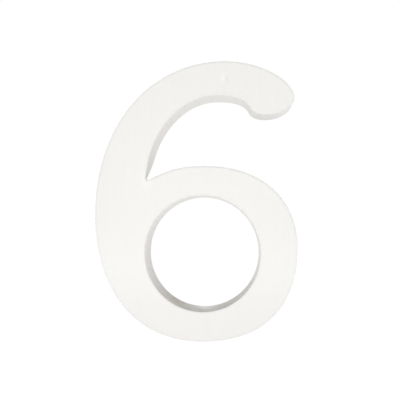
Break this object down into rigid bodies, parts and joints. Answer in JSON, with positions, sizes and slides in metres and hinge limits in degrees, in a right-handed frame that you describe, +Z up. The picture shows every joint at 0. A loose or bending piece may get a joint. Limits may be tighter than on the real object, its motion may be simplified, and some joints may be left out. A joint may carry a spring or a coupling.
{
  "type": "wooden house number",
  "caption": "Numeral six sawn from one flat board, painted white, with an eased front edge and a flat back that goes against a wall or door.",
  "frame": {"origin": "on the wall plane at the flat back, below the centre of the round counter, level with the foot of the bowl", "axes": "+Z up the numeral, +X to the reader's right, +Y into the wall, so the face looks along -Y"},
  "size_m": [0.1087, 0.018, 0.15],
  "materials": {
    "white_paint": "satin white paint on a sanded wooden board"
  },
  "bodies": {
    "root": {"numeral_six": "white_paint"}
  },
  "joints": []
}
